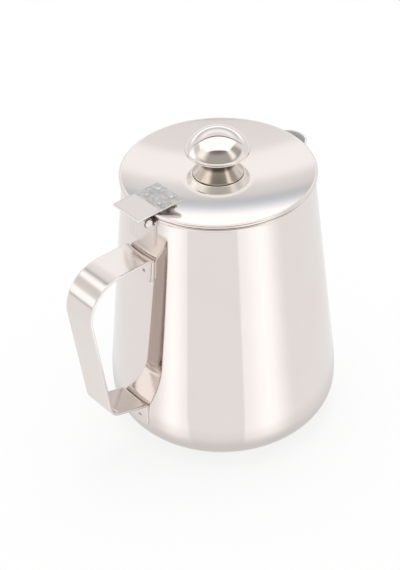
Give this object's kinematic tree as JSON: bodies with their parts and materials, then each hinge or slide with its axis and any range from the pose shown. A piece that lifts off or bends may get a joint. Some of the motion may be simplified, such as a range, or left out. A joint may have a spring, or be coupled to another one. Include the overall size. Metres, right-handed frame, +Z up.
{
  "type": "hot milk jug with lid",
  "caption": "Tapered polished steel hot milk jug with a beak spout, a bent strip handle and a hinged dished lid with a thumb lever and a hollow mushroom knob.",
  "frame": {"origin": "centre of the base ring, on the surface that the jug stands on", "axes": "+Z up along the jug's axis, +X towards the spout, -X towards the handle and the hinge"},
  "size_m": [0.1383, 0.11, 0.155],
  "materials": {
    "body_steel": "mirror-polished stainless steel",
    "handle_steel": "polished stainless strip with spot-weld dents",
    "lid_steel": "mirror-polished stainless steel",
    "lever_steel": "polished strip, worn and mottled where it is welded to the lid",
    "knob_steel": "mirror-polished stainless steel",
    "stem_steel": "turned and polished stainless steel",
    "hardware_steel": "plain stainless steel"
  },
  "bodies": {
    "jug": {"jug_body": "body_steel", "spout": "body_steel", "handle": "handle_steel", "hinge_bracket": "handle_steel", "hinge_pin": "hardware_steel"},
    "lid": {"lid": "lid_steel", "lid_lever": "lever_steel", "knob_rosette": "stem_steel", "knob_stem": "stem_steel", "knob_pan": "knob_steel", "knob_dome": "knob_steel", "knob_screw": "hardware_steel", "knob_washer": "hardware_steel"}
  },
  "joints": [
    {"name": "lid_hinge", "type": "hinge", "parent": "jug", "child": "lid", "pos_m": [-0.0482, 0, 0.1314], "axis": [0, -1, 0], "range_deg": [0, 100]}
  ]
}
